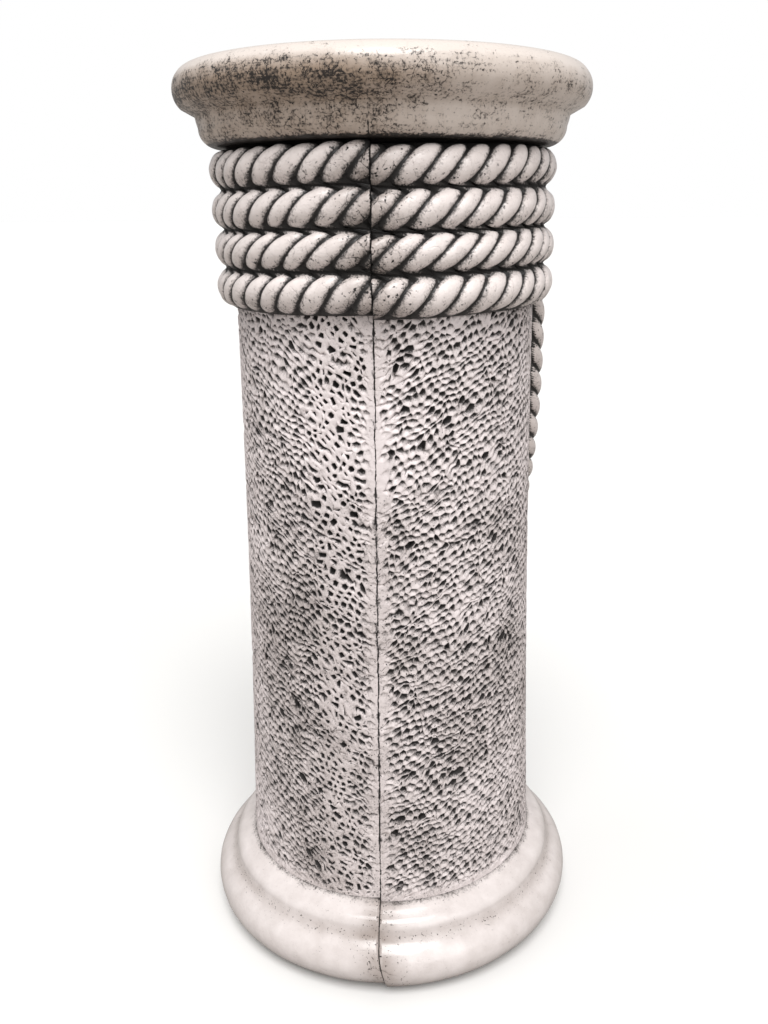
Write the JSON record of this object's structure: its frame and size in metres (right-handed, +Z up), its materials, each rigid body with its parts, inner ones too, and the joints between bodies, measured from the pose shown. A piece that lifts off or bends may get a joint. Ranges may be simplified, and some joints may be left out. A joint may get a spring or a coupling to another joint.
{
  "type": "rope twist column",
  "caption": "Round cast-stone garden column with twisted rope courses round its head, a pitted tapering shaft, a rounded cap and a stepped roll base.",
  "frame": {"origin": "centre of the underside of the base", "axes": "+Z up the column's axis; -Y faces the mould joint seen in the picture; +X is to the viewer's right"},
  "size_m": [0.3396, 0.3398, 0.72],
  "materials": {
    "rope_twist_column": "cast stone, off-white with a dark wash in the hollows, satin sealer on the mouldings"
  },
  "bodies": {
    "root": {"rope_twist_column": "rope_twist_column"}
  },
  "joints": []
}
